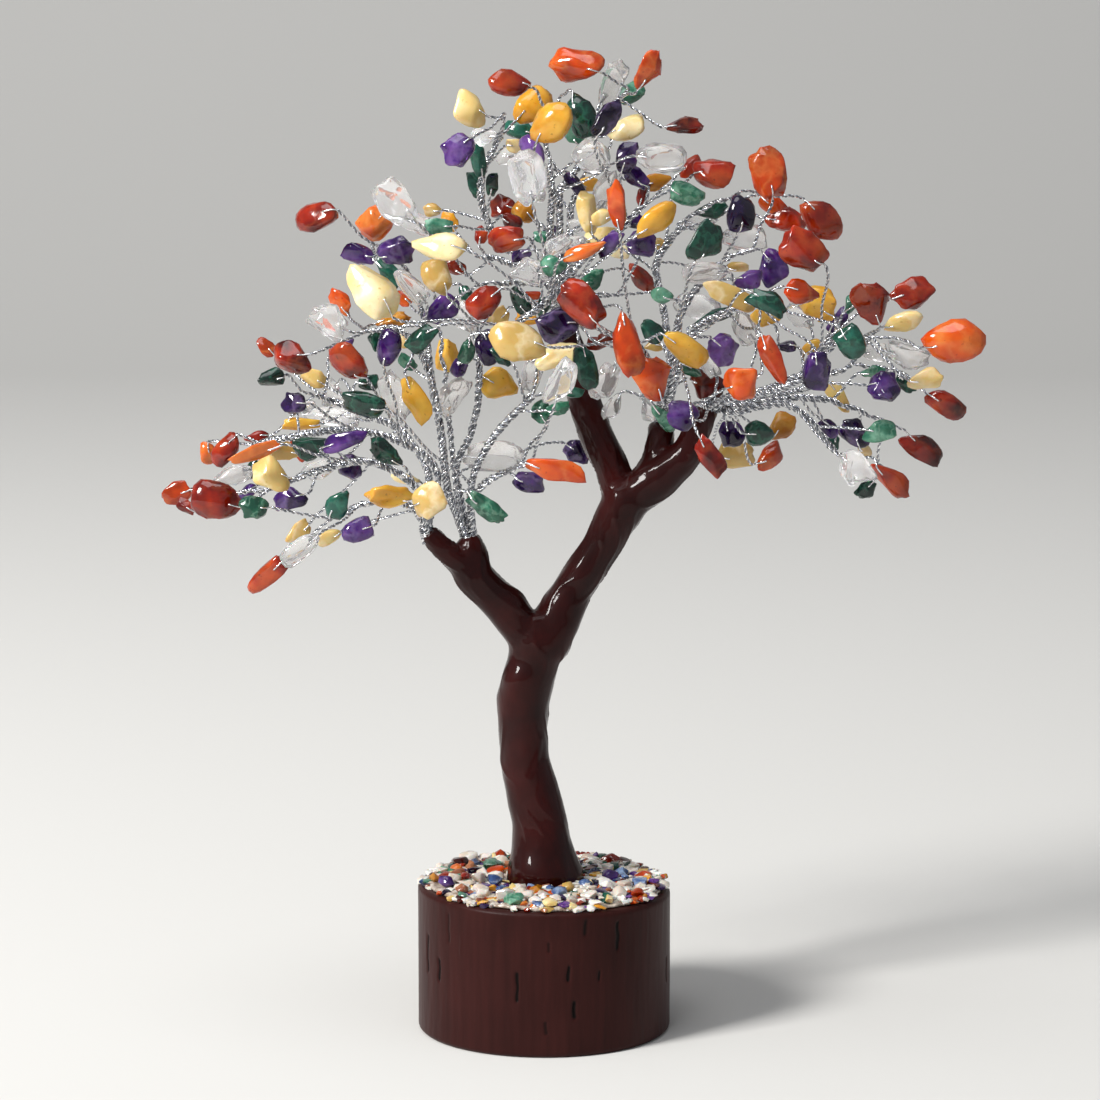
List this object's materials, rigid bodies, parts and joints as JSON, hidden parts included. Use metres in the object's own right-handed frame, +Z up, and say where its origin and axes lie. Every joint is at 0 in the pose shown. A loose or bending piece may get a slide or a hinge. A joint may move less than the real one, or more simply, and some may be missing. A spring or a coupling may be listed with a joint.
{
  "type": "gemstone tree ornament",
  "caption": "Wire tree with a glossy bark on a round wooden base strewn with gravel, each twig ending in a drilled tumbled stone.",
  "frame": {"origin": "centre of the underside of the wooden base, on the surface that it stands on", "axes": "+Z up along the trunk, +X to the right and +Y away from the viewer, as the tree faces in the picture"},
  "size_m": [0.209, 0.0868, 0.251],
  "materials": {
    "bark_lacquer": "glossy dark maroon-brown lacquer on putty",
    "painted_wood": "satin dark brown paint over sawn wood and bark",
    "amethyst": "tumbled, polished, translucent purple",
    "dark_aventurine": "tumbled, polished, dark green",
    "honey_citrine": "tumbled, polished, honey yellow",
    "light_aventurine": "tumbled, polished, mid green",
    "orange_carnelian": "tumbled, polished, translucent orange",
    "pale_citrine": "tumbled, polished, pale yellow",
    "quartz": "tumbled, polished, clear to milky",
    "red_carnelian": "tumbled, polished, translucent deep red",
    "silver_wire": "bright drawn wire",
    "clear_glue": "clear glossy glue",
    "gravel_aventurine": "small polished green chips",
    "gravel_carnelian": "small polished orange-red chips",
    "gravel_citrine": "small polished yellow chips",
    "gravel_jasper": "small polished brown chips",
    "gravel_lapis": "small polished blue chips"
  },
  "bodies": {
    "root": {"bark": "bark_lacquer", "base_block": "painted_wood", "crown_amethyst": "amethyst", "crown_dark_aventurine": "dark_aventurine", "crown_honey_citrine": "honey_citrine", "crown_light_aventurine": "light_aventurine", "crown_orange_carnelian": "orange_carnelian", "crown_pale_citrine": "pale_citrine", "crown_quartz": "quartz", "crown_red_carnelian": "red_carnelian", "crown_wires": "silver_wire", "glue_bed": "clear_glue", "gravel_amethyst": "amethyst", "gravel_aventurine": "gravel_aventurine", "gravel_carnelian": "gravel_carnelian", "gravel_citrine": "gravel_citrine", "gravel_jasper": "gravel_jasper", "gravel_lapis": "gravel_lapis", "gravel_quartz": "quartz", "left_inner_amethyst": "amethyst", "left_inner_dark_aventurine": "dark_aventurine", "left_inner_honey_citrine": "honey_citrine", "left_inner_light_aventurine": "light_aventurine", "left_inner_orange_carnelian": "orange_carnelian", "left_inner_pale_citrine": "pale_citrine", "left_inner_quartz": "quartz", "left_inner_red_carnelian": "red_carnelian", "left_inner_wires": "silver_wire", "left_outer_amethyst": "amethyst", "left_outer_dark_aventurine": "dark_aventurine", "left_outer_honey_citrine": "honey_citrine", "left_outer_light_aventurine": "light_aventurine", "left_outer_orange_carnelian": "orange_carnelian", "left_outer_pale_citrine": "pale_citrine", "left_outer_quartz": "quartz", "left_outer_red_carnelian": "red_carnelian", "left_outer_wires": "silver_wire", "right_inner_amethyst": "amethyst", "right_inner_dark_aventurine": "dark_aventurine", "right_inner_honey_citrine": "honey_citrine", "right_inner_light_aventurine": "light_aventurine", "right_inner_orange_carnelian": "orange_carnelian", "right_inner_pale_citrine": "pale_citrine", "right_inner_quartz": "quartz", "right_inner_red_carnelian": "red_carnelian", "right_inner_wires": "silver_wire", "right_outer_amethyst": "amethyst", "right_outer_dark_aventurine": "dark_aventurine", "right_outer_honey_citrine": "honey_citrine", "right_outer_light_aventurine": "light_aventurine", "right_outer_orange_carnelian": "orange_carnelian", "right_outer_pale_citrine": "pale_citrine", "right_outer_quartz": "quartz", "right_outer_red_carnelian": "red_carnelian", "right_outer_wires": "silver_wire", "wire_core": "silver_wire"}
  },
  "joints": []
}
